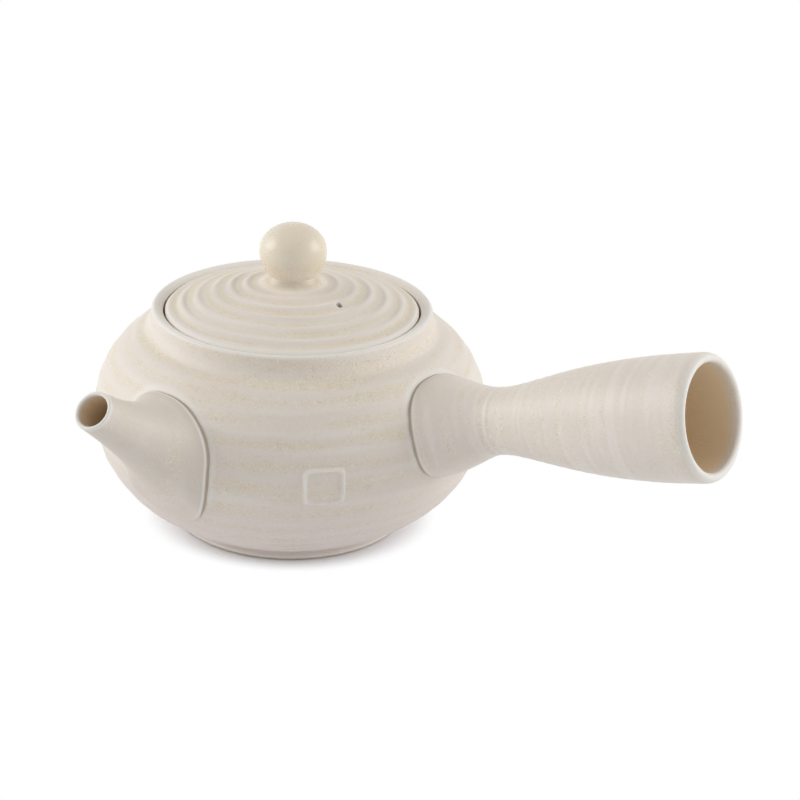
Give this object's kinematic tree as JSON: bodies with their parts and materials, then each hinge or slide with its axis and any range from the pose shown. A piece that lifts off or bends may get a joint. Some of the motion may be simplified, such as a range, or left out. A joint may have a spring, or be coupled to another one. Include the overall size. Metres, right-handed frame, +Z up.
{
  "type": "side-handled teapot",
  "caption": "Low round ceramic teapot with a short upturned spout, a hollow side handle at a right angle to it, a built-in strainer and a lift-off lid with a ball knob.",
  "frame": {"origin": "centre of the flat foot, on the surface that the pot stands on", "axes": "+Z up along the body's axis, +X along the handle seen from above, -Y towards the spout"},
  "size_m": [0.2054, 0.1506, 0.0937],
  "materials": {
    "ivory_glaze": "satin",
    "warm_glaze": "satin",
    "bare_clay": "matte"
  },
  "bodies": {
    "pot": {"body": "ivory_glaze", "spout": "ivory_glaze", "strainer": "bare_clay", "handle": "ivory_glaze"},
    "lid": {"lid": "ivory_glaze", "knob": "warm_glaze"}
  },
  "joints": [
    {"name": "lid_lift", "type": "slide", "parent": "pot", "child": "lid", "axis": [0, 0, 1], "range_m": [0, 0.05]}
  ]
}
